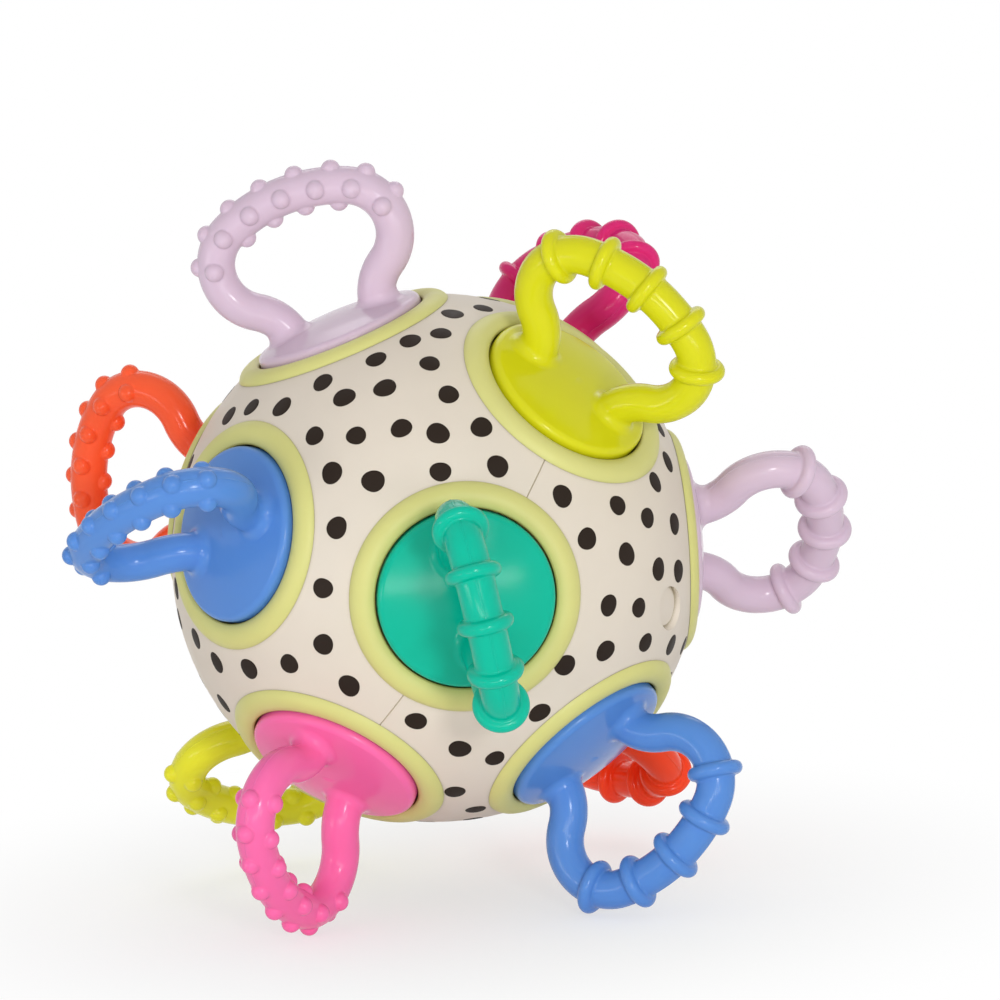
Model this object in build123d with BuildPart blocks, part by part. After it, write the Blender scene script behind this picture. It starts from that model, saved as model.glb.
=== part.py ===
from build123d import *
import os
from math import acos, asin, atan, cos, degrees, hypot, pi, radians, sin, sqrt

# A hollow baby's ball with twelve round ports. A looped handle turns freely in each port.
# Everything is modelled about the ball's own pole, the axis of its two half shells, and is
# stood up at the end so that the ball rests on four of its handles. Lengths are in mm.

# ---------------------------------------------------------------- driving sizes
ball_radius = 40.0
shell_wall = 2.4

# layout: six ports on the seam, three in each half shell, every neighbour the same way off
port_latitude = degrees(atan(sqrt(2)))

# port ring: a soft grommet with a rolled bead outside and a bearing floor inside
port_radius = 15.0
ring_wall = 1.65
bead_width = 2.0
bead_rise = 1.0
bead_tuck = 0.3
lip_grip = 1.0
seat_clearance = 0.05
lip_lead = 0.5
floor_thickness = 2.0

# handle: cap, stem and loop in one moulding
cap_gap = 0.3
cap_proud = 0.4
cap_dome_radius = 50.0
cap_edge = 3.5
cap_rim_round = 1.1
stem_radius = 7.0
stem_wall = 2.0
post_radius = 2.9
core_roof = 3.2
web_thickness = 1.6
bearing_clearance = 0.06
axial_play = 0.2

# loop of the handle
tube_radius = 2.85
leg_offset = 6.8
loop_half_width = 14.0
flare_radius = 8.0
shoulder_radius = 7.3
crown_radius = 24.0
flare_depth = 1.8
leg_length = 0.6
leg_blend = 1.5

# the two textures moulded on the loops
rib_count = 5
rib_pitch = 7.3
rib_height = 1.3
rib_round = 1.05
rib_blend = 0.4
bump_radius = 1.45
bump_height = 1.05
bump_blend = 0.3
outer_bumps = 8
side_bumps = 7
inner_bumps = 4
outer_pitch = 5.9
side_pitch = 5.4
inner_pitch = 4.8

# retainer and the screw that holds it to the stem
retainer_radius = 9.5
retainer_thickness = 2.0
spigot_height = 1.2
spigot_clearance = 0.15
retainer_round = 0.5
screw_radius = 1.5
screw_bite = 0.25
screw_hole_clearance = 0.2
head_radius = 2.8
head_height = 1.9
head_round = 0.8
recess_width = 0.9
recess_length = 3.0
recess_depth = 1.1
handle_screw_length = 7.0
screw_tip = 0.8

# joint between the half shells
lap_height = 1.5
lap_width = 1.1
lap_clearance = 0.1
seam_bevel = 0.12
boss_count = 3
boss_azimuth = 30.0
boss_circle_radius = 26.4
boss_wall = 1.8
well_radius = 3.0
pilot_depth = 10.0
shell_screw_length = 16.0
head_seat = 9.0
plug_length = 4.0
plug_inset = 0.7
plug_round = 0.3

# ---------------------------------------------------------------- derived sizes
inner_radius = ball_radius - shell_wall


def sphere_height(sphere_radius, radius):
    """Height on a sphere about the ball's centre, at a radius from the port's axis."""
    return sqrt(sphere_radius**2 - radius**2)


bead_radius = port_radius + bead_width
seat_sphere = ball_radius + seat_clearance
grip_sphere = inner_radius - seat_clearance
ring_bore = port_radius - ring_wall
cap_radius = ring_bore - cap_gap
lip_radius = port_radius + lip_grip
bearing_radius = stem_radius + bearing_clearance

bead_foot = sphere_height(ball_radius, ring_bore) - bead_tuck
cap_top = ball_radius + cap_proud
cap_rim = cap_top - cap_dome_radius + sqrt(cap_dome_radius**2 - cap_radius**2)
cap_under = cap_rim - cap_edge
floor_top = cap_under - axial_play
floor_bottom = floor_top - floor_thickness
stem_end = floor_bottom - axial_play
core_radius = stem_radius - stem_wall
core_top = cap_top - core_roof
pilot_radius = screw_radius - screw_bite
retainer_under = stem_end - retainer_thickness

# loop centreline, in the plane of the loop: lateral distance and height over the ball's centre
cap_at_leg = cap_top - cap_dome_radius + sqrt(cap_dome_radius**2 - leg_offset**2)
flare_start = cap_at_leg - flare_depth
leg_foot = flare_start - leg_length
shoulder_centre = loop_half_width - shoulder_radius
flare_centre = leg_offset + flare_radius
flare_reach = flare_centre - shoulder_centre
shoulder_rise = sqrt((flare_radius + shoulder_radius) ** 2 - flare_reach**2)
shoulder_height = flare_start + shoulder_rise
flare_turn = degrees(acos(flare_reach / (flare_radius + shoulder_radius)))
crown_turn = degrees(asin(shoulder_centre / (crown_radius - shoulder_radius)))
shoulder_turn = flare_turn + 90 - crown_turn
crown_half_length = crown_radius * radians(crown_turn)

# ---------------------------------------------------------------- directions
standing_lean = degrees(atan(sqrt(2)))
standing = Plane(
    origin=(0, 0, 0),
    x_dir=(0, -1, 0),
    z_dir=(-sin(radians(standing_lean)), 0, cos(radians(standing_lean))),
)


def port_plane(azimuth, latitude):
    """Plane of a port through the ball's centre: z runs out of the port, x towards the pole."""
    across = cos(radians(latitude))
    outward = Vector(
        across * cos(radians(azimuth)),
        across * sin(radians(azimuth)),
        sin(radians(latitude)),
    )
    pole = Vector(0, 0, 1)
    towards_pole = pole - outward * pole.dot(outward)
    return Plane(origin=(0, 0, 0), x_dir=towards_pole, z_dir=outward)


# each port: name, azimuth about the pole, latitude, texture, and the turn its handle was left at
PORTS = (
    ("green_ribbed", 0, 0, "ribs", 135),
    ("yellow_ribbed", 60, 0, "ribs", 165),
    ("pink_ribbed", 120, 0, "ribs", 112),
    ("green_bumpy", 180, 0, "bumps", 40),
    ("yellow_bumpy", 240, 0, "bumps", 148),
    ("pink_bumpy", 300, 0, "bumps", 135),
    ("lilac_bumpy", 90, port_latitude, "bumps", 167),
    ("red_bumpy", 210, port_latitude, "bumps", 40),
    ("blue_bumpy", 330, port_latitude, "bumps", 72),
    ("lilac_ribbed", 90, -port_latitude, "ribs", 38),
    ("red_ribbed", 210, -port_latitude, "ribs", 5),
    ("blue_ribbed", 330, -port_latitude, "ribs", 73),
)


def write_part(name, piece, place):
    """Place a finished piece in the ball, stand the ball up and write the piece."""
    with BuildPart() as placed:
        with Locations(standing.location * place):
            add(piece)
    placed.part.label = name
    export_step(placed.part, f"parts/{name}.step")


# ---------------------------------------------------------------- half shells
def ports_of(upper):
    """Planes under the seam ports and under the ports of one half shell."""
    chosen = []
    for _, azimuth, latitude, _, _ in PORTS:
        if latitude == 0 or (latitude > 0) == upper:
            chosen.append(port_plane(azimuth, latitude).offset(stem_end))
    return chosen


def boss_places(height):
    """Places of the three screw bosses, at a height along the pole."""
    with PolarLocations(boss_circle_radius, boss_count, start_angle=boss_azimuth, rotate=False) as bosses:
        return [Location((0, 0, height)) * place for place in bosses.locations]


lap_radius = inner_radius + lap_width
rebate_radius = lap_radius + lap_clearance
rebate_height = lap_height + lap_clearance

with BuildPart() as bump_half_shell:
    with BuildSketch() as boss_section:
        with Locations(*boss_places(0)):
            Circle(pilot_radius + boss_wall)
    extrude(amount=ball_radius)
    Sphere(ball_radius - shell_wall / 2, mode=Mode.INTERSECT)
    with BuildSketch(Plane.XZ) as upper_wall:
        with BuildLine():
            rebate_turn = degrees(asin(rebate_height / inner_radius))
            bevel_turn = degrees(asin(seam_bevel / ball_radius))
            inside = CenterArc((0, 0), inner_radius, rebate_turn, 90 - rebate_turn)
            outside = CenterArc((0, 0), ball_radius, bevel_turn, 90 - bevel_turn)
            Polyline(
                inside @ 0,
                (rebate_radius, rebate_height),
                (rebate_radius, 0),
                (ball_radius - seam_bevel, 0),
                outside @ 0,
            )
            Line(inside @ 1, outside @ 1)
        make_face()
    revolve(axis=Axis.Z)
    with BuildSketch(*ports_of(upper=True)):
        Circle(port_radius)
    extrude(amount=ball_radius, mode=Mode.SUBTRACT)
    with BuildSketch():
        with Locations(*boss_places(0)):
            Circle(pilot_radius)
    extrude(amount=pilot_depth, mode=Mode.SUBTRACT)

with BuildPart() as rib_half_shell:
    with BuildSketch():
        with Locations(*boss_places(0)):
            Circle(well_radius + boss_wall)
    extrude(amount=-ball_radius)
    Sphere(ball_radius - shell_wall / 2, mode=Mode.INTERSECT)
    with BuildSketch(Plane.XZ) as lower_wall:
        with BuildLine():
            inside = CenterArc((0, 0), inner_radius, -90, 90)
            outside = CenterArc((0, 0), ball_radius, -90, 90 - bevel_turn)
            Polyline(
                inside @ 1,
                (inner_radius, lap_height),
                (lap_radius, lap_height),
                (lap_radius, 0),
                (ball_radius - seam_bevel, 0),
                outside @ 1,
            )
            Line(inside @ 0, outside @ 0)
        make_face()
    revolve(axis=Axis.Z)
    with BuildSketch(*ports_of(upper=False)):
        Circle(port_radius)
    extrude(amount=ball_radius, mode=Mode.SUBTRACT)
    with BuildSketch():
        with Locations(*boss_places(0)):
            Circle(screw_radius + screw_hole_clearance)
    extrude(amount=-ball_radius, mode=Mode.SUBTRACT)
    with BuildSketch(Plane.XY.offset(-head_seat)):
        with Locations(*boss_places(0)):
            Circle(well_radius)
    extrude(amount=-ball_radius, mode=Mode.SUBTRACT)

# ---------------------------------------------------------------- port ring
with BuildPart() as port_ring:
    with BuildSketch(Plane.XZ) as ring_section:
        with BuildLine():
            bead = SagittaArc(
                (bead_radius, sphere_height(seat_sphere, bead_radius)),
                (ring_bore, bead_foot),
                -bead_rise,
            )
            seat = RadiusArc(bead @ 0, (port_radius, sphere_height(seat_sphere, port_radius)), seat_sphere)
            neck = Line(seat @ 1, (port_radius, sphere_height(grip_sphere, port_radius)))
            grip = RadiusArc(neck @ 1, (lip_radius, sphere_height(grip_sphere, lip_radius)), grip_sphere)
            Polyline(
                grip @ 1,
                (lip_radius, floor_bottom + lip_lead),
                (lip_radius - lip_lead, floor_bottom),
                (bearing_radius, floor_bottom),
                (bearing_radius, floor_top),
                (ring_bore, floor_top),
                bead @ 1,
            )
        make_face()
    revolve(axis=Axis.Z)

# ---------------------------------------------------------------- handles
with BuildLine(Plane.XZ) as loop_line:
    leg = Line((leg_offset, leg_foot), (leg_offset, flare_start))
    flare = JernArc(leg @ 1, leg % 1, flare_radius, -flare_turn)
    shoulder = JernArc(flare @ 1, flare % 1, shoulder_radius, shoulder_turn)
    crown = JernArc(shoulder @ 1, shoulder % 1, crown_radius, 2 * crown_turn)
    far_shoulder = JernArc(crown @ 1, crown % 1, shoulder_radius, shoulder_turn)
    far_flare = JernArc(far_shoulder @ 1, far_shoulder % 1, flare_radius, -flare_turn)
    Line(far_flare @ 1, (-leg_offset, leg_foot))
loop_wire = loop_line.wires()[0]


def loop_place(station):
    """Place on the loop at a length from the crown's middle: x points out of the loop, z along it."""
    distance = loop_wire.length / 2 + station
    point = loop_wire.position_at(distance, position_mode=PositionMode.LENGTH)
    along = loop_wire.tangent_at(distance, position_mode=PositionMode.LENGTH)
    return Plane(origin=point, x_dir=Vector(0, 1, 0).cross(along), z_dir=along)


def row_station(row_length, row_offset):
    """Length along the centreline where a row beside it has run row_length from the crown."""
    crown_run = radians(crown_turn) * (crown_radius + row_offset)
    if abs(row_length) <= crown_run:
        return row_length * crown_radius / (crown_radius + row_offset)
    past_crown = (abs(row_length) - crown_run) * shoulder_radius / (shoulder_radius + row_offset)
    return (crown_half_length + past_crown) * (1 if row_length > 0 else -1)


def bump_row(count, pitch, angle):
    """Places of a row of bumps along the loop, at an angle about the tube from its outer side."""
    offset = (tube_radius + bump_height) * cos(radians(angle))
    places = []
    for i in range(count):
        section = loop_place(row_station((i - (count - 1) / 2) * pitch, offset))
        spoke = section.x_dir * cos(radians(angle)) + section.y_dir * sin(radians(angle))
        centre = section.origin + spoke * (tube_radius + bump_height - bump_radius)
        places.append(Plane(origin=centre, z_dir=spoke))
    return places


with BuildPart() as plain_handle:
    # cap and stem, hollowed from inside down to a wall, a screw post and two webs
    with BuildSketch(Plane.YZ) as cap_section:
        with BuildLine():
            dome = RadiusArc((0, cap_top), (cap_radius, cap_rim), cap_dome_radius)
            Polyline(
                dome @ 1,
                (cap_radius, cap_under),
                (stem_radius, cap_under),
                (stem_radius, stem_end),
                (0, stem_end),
                dome @ 0,
            )
        make_face()
        fillet(cap_section.vertices().sort_by_distance((cap_radius, cap_rim))[0], cap_rim_round)
    revolve(axis=Axis.Z)
    with BuildSketch(Plane.XY.offset(stem_end)):
        Circle(core_radius)
        Circle(post_radius, mode=Mode.SUBTRACT)
        Rectangle(2 * core_radius, web_thickness, mode=Mode.SUBTRACT)
    extrude(amount=core_top - stem_end, mode=Mode.SUBTRACT)
    with BuildSketch(Plane.XY.offset(stem_end)):
        Circle(pilot_radius)
    extrude(amount=core_top - stem_end, mode=Mode.SUBTRACT)
    # loop
    with BuildSketch(Plane(origin=leg @ 0, z_dir=leg % 0)):
        Circle(tube_radius)
    sweep(path=loop_wire)
    fillet(plain_handle.edges(Select.NEW), leg_blend)

with BuildPart() as ribbed_handle:
    add(plain_handle.part)
    with Locations(*[loop_place((i - (rib_count - 1) / 2) * rib_pitch) for i in range(rib_count)]):
        Torus(tube_radius + rib_height - rib_round, rib_round)
    fillet(ribbed_handle.edges(Select.NEW), rib_blend)

# rows of bumps: how many, their pitch, and the angle of the row about the tube
BUMP_ROWS = (
    (outer_bumps, outer_pitch, 0),
    (side_bumps, side_pitch, 90),
    (inner_bumps, inner_pitch, 180),
    (side_bumps, side_pitch, 270),
)

with BuildPart() as bumpy_handle:
    add(plain_handle.part)
    for count, pitch, angle in BUMP_ROWS:
        with Locations(*bump_row(count, pitch, angle)):
            Sphere(bump_radius)
        fillet(bumpy_handle.edges(Select.NEW), bump_blend)


# ---------------------------------------------------------------- screws and retainer
def self_tapping_screw(length):
    """Pan head screw with its seat at z = 0, its shank up and a cross recess in its head."""
    with BuildPart() as screw:
        with BuildSketch(Plane.XZ) as outline:
            with BuildLine():
                Polyline(
                    (0, -head_height),
                    (head_radius, -head_height),
                    (head_radius, 0),
                    (screw_radius, 0),
                    (screw_radius, length - screw_tip),
                    (screw_radius - screw_tip / 2, length),
                    (0, length),
                    close=True,
                )
            make_face()
            fillet(outline.vertices().sort_by_distance((head_radius, -head_height))[0], head_round)
        revolve(axis=Axis.Z)
        with BuildSketch(Plane.XY.offset(-head_height)):
            Rectangle(recess_length, recess_width)
            Rectangle(recess_width, recess_length)
        extrude(amount=recess_depth, mode=Mode.SUBTRACT)
    return screw.part


with BuildPart() as retainer:
    with BuildSketch(Plane.XY.offset(retainer_under)):
        Circle(retainer_radius)
    extrude(amount=retainer_thickness)
    fillet(retainer.edges().filter_by(GeomType.CIRCLE).group_by(Axis.Z)[0], retainer_round)
    with BuildSketch(Plane.XY.offset(stem_end)):
        Circle(core_radius - spigot_clearance)
        Circle(post_radius + spigot_clearance, mode=Mode.SUBTRACT)
        Rectangle(2 * core_radius, web_thickness + 2 * spigot_clearance, mode=Mode.SUBTRACT)
    extrude(amount=spigot_height)
    with BuildSketch(Plane.XY.offset(retainer_under)):
        Circle(screw_radius + screw_hole_clearance)
    extrude(amount=retainer_thickness, mode=Mode.SUBTRACT)

handle_screw = self_tapping_screw(handle_screw_length)

with BuildPart() as shell_screws:
    with Locations(*boss_places(-head_seat)):
        add(self_tapping_screw(shell_screw_length))

plug_sphere = ball_radius - plug_inset
plug_end = plug_length - sphere_height(plug_sphere, boss_circle_radius)

with BuildPart() as screw_plugs:
    with BuildSketch(Plane.XY.offset(plug_end)):
        with Locations(*boss_places(0)):
            Circle(well_radius)
    extrude(amount=-ball_radius)
    Sphere(plug_sphere, mode=Mode.INTERSECT)
    fillet(screw_plugs.faces().filter_by(GeomType.SPHERE).edges(), plug_round)

# ---------------------------------------------------------------- written parts
os.makedirs("parts", exist_ok=True)

write_part("bump_half_shell", bump_half_shell.part, Location())
write_part("rib_half_shell", rib_half_shell.part, Location())
write_part("shell_screws", shell_screws.part, Location())
write_part("screw_plugs", screw_plugs.part, Location())

for name, azimuth, latitude, texture, turn in PORTS:
    handle = ribbed_handle if texture == "ribs" else bumpy_handle
    port = port_plane(azimuth, latitude).location
    turned = port * Location((0, 0, 0), (0, 0, turn))
    write_part(f"{name}_port_ring", port_ring.part, port)
    write_part(f"{name}_handle", handle.part, turned)
    write_part(f"{name}_retainer", retainer.part, turned)
    with BuildPart() as seated_screw:
        with Locations((0, 0, retainer_under)):
            add(handle_screw)
    write_part(f"{name}_retainer_screw", seated_screw.part, turned)
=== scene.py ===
import math

import bmesh
import bpy
from mathutils import Matrix, Vector


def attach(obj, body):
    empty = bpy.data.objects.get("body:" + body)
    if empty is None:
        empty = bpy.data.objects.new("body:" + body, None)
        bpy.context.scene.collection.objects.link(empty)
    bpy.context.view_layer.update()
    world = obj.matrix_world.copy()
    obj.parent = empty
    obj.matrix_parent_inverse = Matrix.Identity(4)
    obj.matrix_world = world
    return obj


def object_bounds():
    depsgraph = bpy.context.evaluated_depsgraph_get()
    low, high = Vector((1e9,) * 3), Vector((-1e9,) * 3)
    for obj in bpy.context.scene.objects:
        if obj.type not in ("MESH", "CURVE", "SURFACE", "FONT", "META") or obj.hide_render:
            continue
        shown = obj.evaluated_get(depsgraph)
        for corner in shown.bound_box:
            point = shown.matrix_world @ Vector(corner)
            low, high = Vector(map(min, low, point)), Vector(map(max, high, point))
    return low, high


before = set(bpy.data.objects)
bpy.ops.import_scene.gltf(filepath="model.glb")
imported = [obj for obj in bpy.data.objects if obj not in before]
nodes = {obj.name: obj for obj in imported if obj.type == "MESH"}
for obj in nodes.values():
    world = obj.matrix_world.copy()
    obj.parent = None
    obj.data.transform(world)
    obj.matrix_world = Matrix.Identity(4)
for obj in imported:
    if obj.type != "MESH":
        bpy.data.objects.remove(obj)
cad_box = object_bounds()
# The ball, its spots and its loops are given in millimetres, and MM turns them into metres.
# The shaders, the floor, the lamps and the camera's clipping are in metres.
MM = 0.001

# ------------------------------------------------------------------ object facts
BALL_RADIUS = 40.0
# Axes of the ball: BALL_Z is its pole, at right angles to the seam, on the bumpy half's side.
SEAM_LEAN = math.atan(math.sqrt(2.0))
BALL_X = Vector((0.0, -1.0, 0.0))
BALL_Z = Vector((-math.sin(SEAM_LEAN), 0.0, math.cos(SEAM_LEAN)))
BALL_Y = BALL_Z.cross(BALL_X)


def on_ball(latitude, azimuth):
    """Direction from the ball's centre, given degrees over the seam and degrees round the pole."""
    lat, az = math.radians(latitude), math.radians(azimuth)
    flat = BALL_X * math.cos(az) + BALL_Y * math.sin(az)
    return flat * math.cos(lat) + BALL_Z * math.sin(lat)


def add_piece(name, mesh, material, smooth=False):
    """Puts a finished bmesh into the scene as an object with its normals outwards."""
    bmesh.ops.recalc_face_normals(mesh, faces=mesh.faces)
    data = bpy.data.meshes.new(name)
    mesh.to_mesh(data)
    mesh.free()
    if smooth:
        for face in data.polygons:
            face.use_smooth = True
    piece = bpy.data.objects.new(name, data)
    bpy.context.scene.collection.objects.link(piece)
    data.materials.append(material)
    return piece


# ------------------------------------------------------------------ materials
NOISE_ROUGHNESS = 0.55
# Blender's noise seldom leaves this range, so it is what spread() stretches.
NOISE_LOW, NOISE_HIGH = 0.3, 0.7
OPENNESS_SAMPLES = 6
OPENNESS_LOW, OPENNESS_HIGH = 0.72, 0.9

# Noise scale and detail of each trait of moulded plastic, the shares of its roughness between
# which the gloss varies, the heights of its bumps, and its glow.
MOTTLE_NOISE = (70.0, 4.0)
GLOSS_NOISE = (220.0, 3.0)
WAVE_NOISE = (90.0, 2.0)
GRAIN_NOISE = (2200.0, 2.0)
GLOSS_LOW, GLOSS_HIGH = 0.85, 1.2
WAVE_HEIGHT = 0.00025
GRAIN_HEIGHT = 0.00003
# Reach in metres of the painted shade in corners.
CORNER_SHADE_REACH = 0.0006
GLOW_RADIUS = (1.0, 0.8, 0.7)
GLOW_SCALE = 0.0013

STEEL_TONE_NOISE = (900.0, 4.0)
STEEL_GLOSS_NOISE = (1500.0, 2.0)
STEEL_ROUGHNESS_LOW, STEEL_ROUGHNESS_HIGH = 0.25, 0.4


def linear(red, green, blue):
    """sRGB values of 0 to 255 as the linear colour that shaders take."""
    out = []
    for value in (red, green, blue):
        part = value / 255.0
        out.append(part / 12.92 if part <= 0.04045 else ((part + 0.055) / 1.055) ** 2.4)
    return (*out, 1.0)


def scaled(colour, factor):
    return (colour[0] * factor, colour[1] * factor, colour[2] * factor, 1.0)


class Shader:
    """A material with one Principled shader and short calls that add procedural nodes to it."""

    def __init__(self, name):
        self.material = bpy.data.materials.new(name)
        self.material.use_nodes = True
        self.tree = self.material.node_tree
        self.tree.nodes.clear()
        self.output = self.tree.nodes.new("ShaderNodeOutputMaterial")
        self.bsdf = self.tree.nodes.new("ShaderNodeBsdfPrincipled")
        self.tree.links.new(self.bsdf.outputs["BSDF"], self.output.inputs["Surface"])
        self.coords = self.tree.nodes.new("ShaderNodeTexCoord")

    def noise(self, scale, detail):
        node = self.tree.nodes.new("ShaderNodeTexNoise")
        node.inputs["Scale"].default_value = scale
        node.inputs["Detail"].default_value = detail
        node.inputs["Roughness"].default_value = NOISE_ROUGHNESS
        self.tree.links.new(self.coords.outputs["Object"], node.inputs["Vector"])
        return node.outputs["Fac"]

    def spread(self, value, low, high, from_low=NOISE_LOW, from_high=NOISE_HIGH):
        node = self.tree.nodes.new("ShaderNodeMapRange")
        node.inputs["From Min"].default_value = from_low
        node.inputs["From Max"].default_value = from_high
        node.inputs["To Min"].default_value = low
        node.inputs["To Max"].default_value = high
        self.tree.links.new(value, node.inputs["Value"])
        return node.outputs["Result"]

    # The mask below places the painted shade in corners.
    def openness(self, reach):
        """0 in the corner where a neighbour rises from the surface, 1 where nothing is near."""
        node = self.tree.nodes.new("ShaderNodeAmbientOcclusion")
        node.samples = OPENNESS_SAMPLES
        node.inputs["Distance"].default_value = reach
        return self.spread(node.outputs["AO"], 0.0, 1.0, OPENNESS_LOW, OPENNESS_HIGH)

    def tint(self, value, first, second):
        """From the first colour to the second as value goes from 0 to 1."""
        node = self.tree.nodes.new("ShaderNodeMix")
        node.data_type = "RGBA"
        for socket, colour in (("A", first), ("B", second)):
            if isinstance(colour, bpy.types.NodeSocket):
                self.tree.links.new(colour, node.inputs[socket])
            else:
                node.inputs[socket].default_value = colour
        self.tree.links.new(value, node.inputs["Factor"])
        return node.outputs["Result"]

    def bump(self, value, strength, distance, under=None):
        node = self.tree.nodes.new("ShaderNodeBump")
        node.inputs["Strength"].default_value = strength
        node.inputs["Distance"].default_value = distance
        self.tree.links.new(value, node.inputs["Height"])
        if under is not None:
            self.tree.links.new(under, node.inputs["Normal"])
        return node.outputs["Normal"]

    def set(self, socket, value):
        self.bsdf.inputs[socket].default_value = value

    def link(self, value, socket):
        self.tree.links.new(value, self.bsdf.inputs[socket])


def moulded(name, colour, shade, roughness, grain, glow=0.0, specular=0.5, wave=0.2, painted_corner_shade=None):
    """Moulded plastic: slow mottling, uneven gloss, and a fine skin with slight waviness.

    shade darkens the second colour of the mottling, glow is the subsurface weight, and the last
    argument, when given, is a darker colour painted as shade into the corners at the foot of a
    neighbour.
    """
    shader = Shader(name)
    mottle = shader.spread(shader.noise(*MOTTLE_NOISE), 0.0, 1.0)
    skin = shader.tint(mottle, colour, scaled(colour, shade))
    # Painted shade: the colour darkens into the corners where ambient occlusion finds a neighbour
    # close by.
    if painted_corner_shade:
        skin = shader.tint(shader.openness(CORNER_SHADE_REACH), painted_corner_shade, skin)
    shader.link(skin, "Base Color")
    gloss = shader.noise(*GLOSS_NOISE)
    shader.link(shader.spread(gloss, roughness * GLOSS_LOW, roughness * GLOSS_HIGH), "Roughness")
    waves = shader.bump(shader.noise(*WAVE_NOISE), wave, WAVE_HEIGHT)
    shader.link(shader.bump(shader.noise(*GRAIN_NOISE), grain, GRAIN_HEIGHT, waves), "Normal")
    shader.set("Specular IOR Level", specular)
    if glow:
        shader.set("Subsurface Weight", glow)
        shader.set("Subsurface Radius", GLOW_RADIUS)
        shader.set("Subsurface Scale", GLOW_SCALE)
    return shader.material


# The shell's darker second colour is painted shade in the corners at the foot of the rings, in the
# seam groove and round the screw plugs.
SHELL = moulded("shell_cream", linear(223, 212, 197), shade=0.965, roughness=0.5, grain=0.3,
                glow=0.05, specular=0.3, painted_corner_shade=linear(182, 170, 146))
SPOT = moulded("spot_ink", linear(44, 34, 27), shade=0.85, roughness=0.55, grain=0.2,
               specular=0.12)
# The ring's darker second colour is painted shade in the corners at its foot.
RING = moulded("ring_lime", linear(213, 210, 132), shade=0.96, roughness=0.45, grain=0.25,
               glow=0.15, specular=0.3, painted_corner_shade=linear(168, 160, 84))
RETAINER = moulded("retainer_white", linear(226, 224, 218), shade=0.95, roughness=0.4, grain=0.3)


def handle_plastic(name, colour):
    return moulded("handle_" + name, colour, shade=0.96, roughness=0.17, grain=0.01,
                   glow=0.22, specular=0.18, wave=0.08)


HANDLES = {
    "green": handle_plastic("green", linear(0, 184, 154)),
    "yellow": handle_plastic("yellow", linear(213, 211, 26)),
    "pink": handle_plastic("pink", linear(248, 110, 172)),
    "lilac": handle_plastic("lilac", linear(214, 191, 209)),
    "red": handle_plastic("red", linear(254, 96, 54)),
    "blue": handle_plastic("blue", linear(89, 140, 211)),
}
# Copies of a handle's colour with the light painted in: deeper for the pink and red ribbed handles
# as painted shade, lighter for the yellow bumpy handle as painted light.
LIGHT_PAINTED_COPIES = {
    "pink_ribbed_handle": handle_plastic("pink_painted_shade", linear(224, 40, 120)),
    "red_ribbed_handle": handle_plastic("red_painted_shade", linear(255, 74, 36)),
    "yellow_bumpy_handle": handle_plastic("yellow_painted_light", linear(230, 228, 50)),
}


def steel():
    """Zinc plated steel of the screws."""
    shader = Shader("screw_steel")
    tone = shader.spread(shader.noise(*STEEL_TONE_NOISE), 0.0, 1.0)
    shader.link(shader.tint(tone, linear(186, 188, 190), linear(160, 163, 168)), "Base Color")
    gloss = shader.noise(*STEEL_GLOSS_NOISE)
    shader.link(shader.spread(gloss, STEEL_ROUGHNESS_LOW, STEEL_ROUGHNESS_HIGH), "Roughness")
    shader.set("Metallic", 1.0)
    return shader.material


STEEL = steel()


def material_of(node_name):
    # Three handles take the copies of their colour with painted shade or painted light.
    if node_name in LIGHT_PAINTED_COPIES:
        return LIGHT_PAINTED_COPIES[node_name]
    if node_name.endswith("_handle"):
        return HANDLES[node_name.split("_")[0]]
    if node_name.endswith("_port_ring"):
        return RING
    if node_name.endswith("_retainer"):
        return RETAINER
    if node_name.endswith("_screw") or node_name == "shell_screws":
        return STEEL
    return SHELL


for name in nodes:
    materials = nodes[name].data.materials
    materials.clear()
    materials.append(material_of(name))

# ------------------------------------------------------------------ printed spots
SPOT_RADIUS = 1.62
SPOT_SIDES = 32
SPOT_PROUD = 0.03
SPOT_SUNK = 0.12
# Rings of points from the top to the base: share of the spot's radius, and height over the ball.
SPOT_RINGS = ((0.9, SPOT_PROUD), (1.0, SPOT_PROUD * 0.2), (1.0, -SPOT_SUNK))
# Shares of the radius by which a spot is oval, is three-lobed, and differs in size from the next.
SPOT_OVAL = 0.045
SPOT_LOBES = 0.025
SPOT_SIZE_SPREAD = 0.06
# Steps of the sines that make the spots differ.
OVAL_STEP = 1.7
LOBES_STEP = 2.9
SIZE_STEP = 2.3
SIZE_START = 0.5
REPEAT_STEP = 0.37

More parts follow.
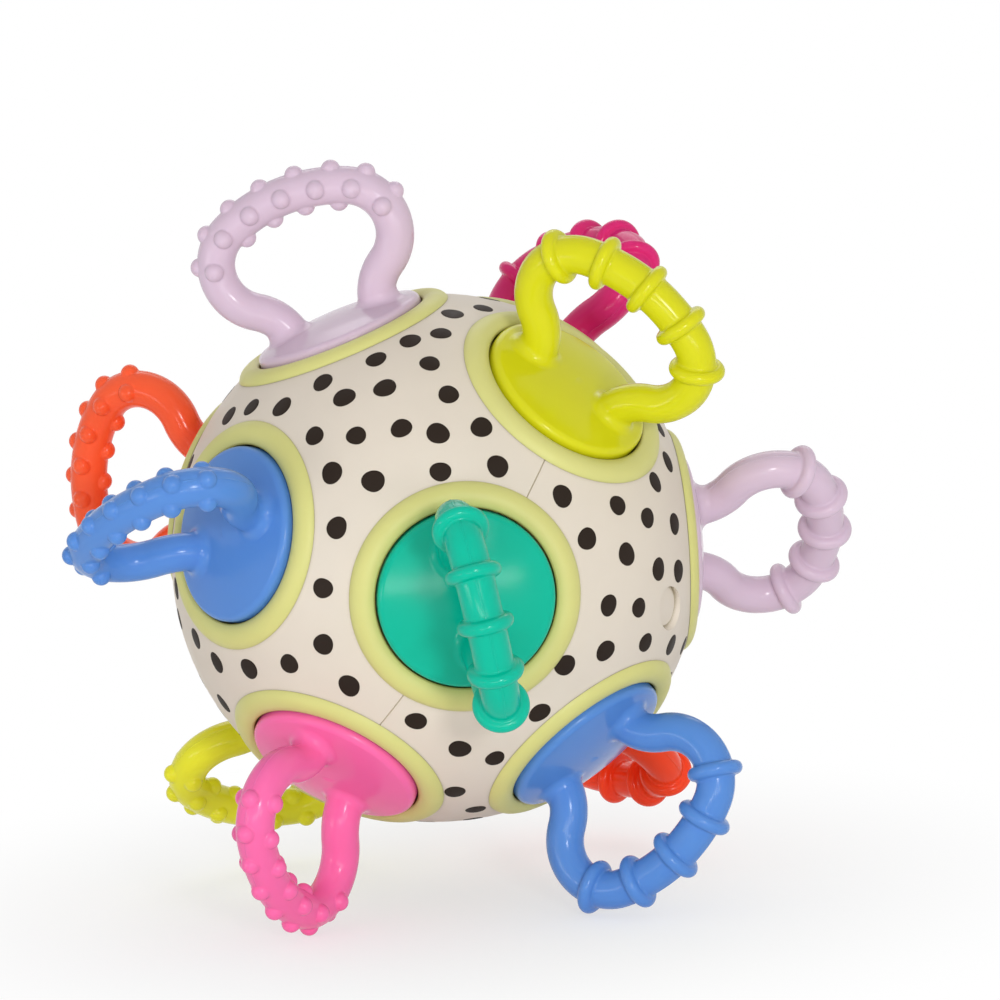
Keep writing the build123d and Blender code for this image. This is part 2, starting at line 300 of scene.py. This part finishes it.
# The print is taken to repeat three times round the pole. Each pair is latitude over the seam and
# azimuth round the pole, in degrees.
REPEATS = 3
REPEAT_TURN = 120.0
BUMP_HALF_SPOTS = (
    (8.4, 28.1), (15.0, 34.9), (18.5, 21.1), (22.7, 29.3), (24.2, 40.1), (30.3, 27.3),
    (30.2, 12.2), (30.6, 48.3), (31.8, -2.1), (37.7, 37.6), (38.7, 21.4), (39.4, 9.3),
    (36.5, 56.5), (30.5, 60.8), (29.0, 71.8), (22.5, 78.5), (42.4, 48.0), (45.7, 32.3),
    (47.9, 17.3), (52.7, 38.0), (60.6, 26.0), (71.0, 26.6), (79.5, 21.0), (19.9, -26.7),
    (27.0, -16.0), (10.3, 89.2),
)
RIB_HALF_SPOTS = (
    (-6.8, 29.9), (-16.2, 25.2), (-19.5, 36.9), (-27.0, 28.9), (-29.0, 15.9), (-28.2, 41.1),
    (-27.0, -1.8), (-26.7, 51.8), (-28.9, 63.6), (-34.8, 6.2), (-37.4, 20.9), (-37.7, 33.6),
    (-37.0, 49.3), (-45.5, 15.0), (-45.0, 41.0), (-57.3, 22.9), (-5.6, 90.7), (-17.6, 88.5),
    (-26.3, 88.7), (-24.3, 73.3), (-28.5, -15.1), (-68.0, 36.0), (-70.0, 12.0), (-79.0, 42.0),
)
# Spots of one repeat, by their place in the lists above, that lie elsewhere on the printed ball
# or, where None, are not on it.
SHIFTED_REPEAT = 2
BUMP_HALF_SHIFTS = {
    4: (26.1, 46.0), 7: None, 9: None, 12: (34.4, 57.9), 13: None, 14: (28.7, 70.4),
    15: (23.0, 82.6), 16: (41.3, 50.2),
}
RIB_HALF_SHIFTS = {7: None, 8: (-33.3, 63.4)}


def add_spot(mesh, direction, radius, seed):
    """One spot: a thin closed disc that follows the sphere, a little off round."""
    side = direction.orthogonal().normalized()
    other = direction.cross(side)
    loops = []
    for share, height in SPOT_RINGS:
        loop = []
        for i in range(SPOT_SIDES):
            turn = 2.0 * math.pi * i / SPOT_SIDES
            wobble = (1.0 + SPOT_OVAL * math.sin(2.0 * turn + seed * OVAL_STEP)
                      + SPOT_LOBES * math.sin(3.0 * turn + seed * LOBES_STEP))
            reach = radius * share * wobble
            offset = side * (reach * math.cos(turn)) + other * (reach * math.sin(turn))
            point = (direction * BALL_RADIUS + offset).normalized() * (BALL_RADIUS + height)
            loop.append(mesh.verts.new(point * MM))
        loops.append(loop)
    top = mesh.verts.new(direction * ((BALL_RADIUS + SPOT_PROUD) * MM))
    base = mesh.verts.new(direction * ((BALL_RADIUS - SPOT_SUNK) * MM))
    for i in range(SPOT_SIDES):
        j = (i + 1) % SPOT_SIDES
        mesh.faces.new((top, loops[0][i], loops[0][j]))
        for inner, outer in ((loops[0], loops[1]), (loops[1], loops[2])):
            mesh.faces.new((inner[i], outer[i], outer[j], inner[j]))
        mesh.faces.new((base, loops[2][j], loops[2][i]))


def make_spots(name, places, shifts):
    mesh = bmesh.new()
    for repeat in range(REPEATS):
        for k, place in enumerate(places):
            if repeat == SHIFTED_REPEAT:
                place = shifts.get(k, place)
            if place is None:
                continue
            latitude, azimuth = place
            seed = k + repeat * REPEAT_STEP
            radius = SPOT_RADIUS * (1.0 + SPOT_SIZE_SPREAD * math.sin(k * SIZE_STEP + SIZE_START))
            add_spot(mesh, on_ball(latitude, azimuth + REPEAT_TURN * repeat), radius, seed)
    piece = add_piece(name, mesh, SPOT, smooth=True)
    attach(piece, "ball")


make_spots("bump_half_spots", BUMP_HALF_SPOTS, BUMP_HALF_SHIFTS)
make_spots("rib_half_spots", RIB_HALF_SPOTS, RIB_HALF_SHIFTS)

# ------------------------------------------------------------------ parting lines on the loops
PORT_LATITUDE = math.degrees(math.atan(math.sqrt(2.0)))
# Each port: name, azimuth round the pole, latitude over the seam, and the turn of its handle.
PORTS = (
    ("green_ribbed", 0, 0, 135),
    ("yellow_ribbed", 60, 0, 165),
    ("pink_ribbed", 120, 0, 112),
    ("green_bumpy", 180, 0, 40),
    ("yellow_bumpy", 240, 0, 148),
    ("pink_bumpy", 300, 0, 135),
    ("lilac_bumpy", 90, PORT_LATITUDE, 167),
    ("red_bumpy", 210, PORT_LATITUDE, 40),
    ("blue_bumpy", 330, PORT_LATITUDE, 72),
    ("lilac_ribbed", 90, -PORT_LATITUDE, 38),
    ("red_ribbed", 210, -PORT_LATITUDE, 5),
    ("blue_ribbed", 330, -PORT_LATITUDE, 73),
)
# The loop's centreline, with the sizes that it has in the CAD.
LEG_OFFSET = 6.8
LOOP_HALF_WIDTH = 14.0
FLARE_RADIUS = 8.0
SHOULDER_RADIUS = 7.3
CROWN_RADIUS = 24.0
FLARE_START = 38.135
TUBE_RADIUS = 2.85
# Steps along each arc. The line leaves out the first steps of the flare, near the cap.
FLARE_SKIPPED = 3
FLARE_STEPS = 12
SHOULDER_STEPS = 24
CROWN_STEPS = 12
RIDGE_HALF_WIDTH = 0.16
RIDGE_HEIGHT = 0.06
RIDGE_SUNK = 0.25
# Section of the ridge: share of its half width, and height over the tube.
RIDGE_PROFILE = (
    (-1.0, -RIDGE_SUNK), (-1.0, 0.0), (-0.55, 0.75 * RIDGE_HEIGHT), (0.0, RIDGE_HEIGHT),
    (0.55, 0.75 * RIDGE_HEIGHT), (1.0, 0.0), (1.0, -RIDGE_SUNK),
)


def loop_outline():
    """Half of the loop's centreline from leg to crown: lateral place, height, outward direction."""
    flare_x = LEG_OFFSET + FLARE_RADIUS
    shoulder_x = LOOP_HALF_WIDTH - SHOULDER_RADIUS
    reach = FLARE_RADIUS + SHOULDER_RADIUS
    shoulder_z = FLARE_START + math.sqrt(reach * reach - (flare_x - shoulder_x) ** 2)
    flare_turn = math.acos((flare_x - shoulder_x) / reach)
    crown_turn = math.asin(shoulder_x / (CROWN_RADIUS - SHOULDER_RADIUS))
    crown_z = shoulder_z - (CROWN_RADIUS - SHOULDER_RADIUS) * math.cos(crown_turn)
    steps = []

    def add_step(x, z, radius, across, up):
        steps.append((x + radius * across, z + radius * up, across, up))

    for i in range(FLARE_SKIPPED, FLARE_STEPS):
        turn = flare_turn * i / FLARE_STEPS
        add_step(flare_x, FLARE_START, -FLARE_RADIUS, math.cos(turn), -math.sin(turn))
    first, last = -flare_turn, math.pi / 2.0 - crown_turn
    for i in range(SHOULDER_STEPS):
        turn = first + (last - first) * i / SHOULDER_STEPS
        add_step(shoulder_x, shoulder_z, SHOULDER_RADIUS, math.cos(turn), math.sin(turn))
    for i in range(CROWN_STEPS + 1):
        turn = last + crown_turn * i / CROWN_STEPS
        add_step(0.0, crown_z, CROWN_RADIUS, math.cos(turn), math.sin(turn))
    return steps


def make_parting_line(name, azimuth, latitude, turn):
    """Thin witness ridge of the mould, along the outside of a loop from leg to leg."""
    out = on_ball(latitude, azimuth)
    towards_pole = (BALL_Z - out * BALL_Z.dot(out)).normalized()
    angle = math.radians(turn)
    side = towards_pole * math.cos(angle) + out.cross(towards_pole) * math.sin(angle)
    across = out.cross(side)
    half = loop_outline()
    steps = half + [(-x, z, -nx, nz) for x, z, nx, nz in reversed(half[:-1])]
    mesh = bmesh.new()
    rows = []
    for x, z, nx, nz in steps:
        centre = side * x + out * z
        normal = side * nx + out * nz
        rows.append([
            mesh.verts.new((centre + normal * (TUBE_RADIUS + height)
                            + across * (share * RIDGE_HALF_WIDTH)) * MM)
            for share, height in RIDGE_PROFILE
        ])
    for row, following in zip(rows, rows[1:]):
        for i in range(len(row)):
            j = (i + 1) % len(row)
            mesh.faces.new((row[i], row[j], following[j], following[i]))
    mesh.faces.new(rows[0])
    mesh.faces.new(rows[-1])
    plastic = nodes[name + "_handle"].data.materials[0]
    piece = add_piece(name + "_parting_line", mesh, plastic)
    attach(piece, name)


for port in PORTS:
    make_parting_line(*port)

# ------------------------------------------------------------------ stage, lamps, camera
WHITE = (1.0, 1.0, 1.0, 1.0)
FLOOR_HALF = 6.0
FLOOR_COLOUR = (0.97, 0.97, 0.97, 1.0)
FLOOR_ROUGHNESS = 0.9
# The floor is mixed with plain white by FLOOR_WHITE_NEAR up to FLOOR_WHITE_FROM from the middle
# of the ball, and wholly past FLOOR_WHITE_PAST.
FLOOR_WHITE_NEAR = 0.5
FLOOR_WHITE_FROM = 0.03
FLOOR_WHITE_PAST = 0.12
FILL_STRENGTH = 0.54

# Each lamp: name, place, width and height, power in watts.
LAMPS = (
    ("key_lamp", (0.10, -0.87, 0.19), (0.11, 0.11), 2.15),
    ("low_lamp", (-0.02, -0.6, -0.03), (0.6, 0.06), 1.0),
    ("side_lamp", (-0.6, -0.35, -0.02), (0.3, 0.1), 0.6),
    ("back_lamp", (0.1, 0.6, 0.6), (0.6, 0.4), 1.2),
)

# The camera's place is in radii of the ball. Its lens and sensor are in millimetres.
CAMERA_PLACE = Vector((-2.4152, -22.3190, 3.7431)) * (BALL_RADIUS * MM)
CAMERA_RIGHT = Vector((0.99040, -0.12713, -0.05431)).normalized()
CAMERA_FORWARD = Vector((0.11737, 0.98082, -0.15563)).normalized()
CAMERA_LENS = 216.3
CAMERA_SENSOR = 36.0
CAMERA_CLIP_START = 0.01
CAMERA_CLIP_END = 30.0


def seen_rays(tree):
    """1 for rays that end in the picture, straight or by way of a glossy or clear surface."""
    path = tree.nodes.new("ShaderNodeLightPath")
    total = path.outputs["Is Camera Ray"]
    for ray in ("Is Glossy Ray", "Is Transmission Ray"):
        plus = tree.nodes.new("ShaderNodeMath")
        plus.operation = "ADD"
        plus.use_clamp = True
        tree.links.new(total, plus.inputs[0])
        tree.links.new(path.outputs[ray], plus.inputs[1])
        total = plus.outputs["Value"]
    return total


def make_floor():
    """Pale floor that takes the shadow near the object and is plain white farther out."""
    height = cad_box[0][2]
    data = bpy.data.meshes.new("floor")
    square = ((-1, -1), (1, -1), (1, 1), (-1, 1))
    corners = [(x * FLOOR_HALF, y * FLOOR_HALF, height) for x, y in square]
    data.from_pydata(corners, [], [(0, 1, 2, 3)])
    floor = bpy.data.objects.new("floor", data)
    bpy.context.scene.collection.objects.link(floor)
    material = bpy.data.materials.new("floor_white")
    material.use_nodes = True
    tree = material.node_tree
    bsdf = tree.nodes["Principled BSDF"]
    bsdf.inputs["Base Color"].default_value = FLOOR_COLOUR
    bsdf.inputs["Roughness"].default_value = FLOOR_ROUGHNESS
    bsdf.inputs["Specular IOR Level"].default_value = 0.0
    white = tree.nodes.new("ShaderNodeEmission")
    white.inputs["Color"].default_value = WHITE
    white.inputs["Strength"].default_value = 1.0
    place = tree.nodes.new("ShaderNodeTexCoord")
    reach = tree.nodes.new("ShaderNodeVectorMath")
    reach.operation = "LENGTH"
    tree.links.new(place.outputs["Object"], reach.inputs[0])
    fade = tree.nodes.new("ShaderNodeMapRange")
    fade.interpolation_type = "SMOOTHSTEP"
    fade.inputs["From Min"].default_value = FLOOR_WHITE_FROM
    fade.inputs["From Max"].default_value = FLOOR_WHITE_PAST
    fade.inputs["To Min"].default_value = FLOOR_WHITE_NEAR
    tree.links.new(reach.outputs["Value"], fade.inputs["Value"])
    share = tree.nodes.new("ShaderNodeMath")
    share.operation = "MULTIPLY"
    tree.links.new(fade.outputs["Result"], share.inputs[0])
    tree.links.new(seen_rays(tree), share.inputs[1])
    mix = tree.nodes.new("ShaderNodeMixShader")
    tree.links.new(share.outputs["Value"], mix.inputs["Fac"])
    tree.links.new(bsdf.outputs["BSDF"], mix.inputs[1])
    tree.links.new(white.outputs["Emission"], mix.inputs[2])
    tree.links.new(mix.outputs["Shader"], tree.nodes["Material Output"].inputs["Surface"])
    data.materials.append(material)


def make_world():
    """White where the camera and reflections look past the floor, a plain soft fill elsewhere."""
    world = bpy.data.worlds.new("studio")
    bpy.context.scene.world = world
    world.use_nodes = True
    tree = world.node_tree
    tree.nodes.clear()
    output = tree.nodes.new("ShaderNodeOutputWorld")
    seen = tree.nodes.new("ShaderNodeBackground")
    seen.inputs["Color"].default_value = WHITE
    seen.inputs["Strength"].default_value = 1.0
    fill = tree.nodes.new("ShaderNodeBackground")
    fill.inputs["Color"].default_value = WHITE
    fill.inputs["Strength"].default_value = FILL_STRENGTH
    mix = tree.nodes.new("ShaderNodeMixShader")
    tree.links.new(seen_rays(tree), mix.inputs["Fac"])
    tree.links.new(fill.outputs["Background"], mix.inputs[1])
    tree.links.new(seen.outputs["Background"], mix.inputs[2])
    tree.links.new(mix.outputs["Shader"], output.inputs["Surface"])


def make_lamp(name, place, size, power):
    """Rectangular lamp that faces the middle of the ball."""
    data = bpy.data.lights.new(name, "AREA")
    data.shape = "RECTANGLE"
    data.size, data.size_y = size
    data.energy = power
    lamp = bpy.data.objects.new(name, data)
    lamp.location = place
    lamp.rotation_euler = (-Vector(place)).to_track_quat("-Z", "Y").to_euler()
    bpy.context.scene.collection.objects.link(lamp)


def make_camera():
    data = bpy.data.cameras.new("camera")
    data.sensor_fit = "HORIZONTAL"
    data.sensor_width = CAMERA_SENSOR
    data.lens = CAMERA_LENS
    data.clip_start = CAMERA_CLIP_START
    data.clip_end = CAMERA_CLIP_END
    camera = bpy.data.objects.new("camera", data)
    up = CAMERA_RIGHT.cross(CAMERA_FORWARD).normalized()
    right = CAMERA_FORWARD.cross(up)
    turn = Matrix((right, up, -CAMERA_FORWARD)).transposed()
    camera.matrix_world = Matrix.Translation(CAMERA_PLACE) @ turn.to_4x4()
    bpy.context.scene.collection.objects.link(camera)
    bpy.context.scene.camera = camera


make_floor()
make_world()
for lamp in LAMPS:
    make_lamp(*lamp)
make_camera()
bpy.context.scene.view_settings.view_transform = "Standard"
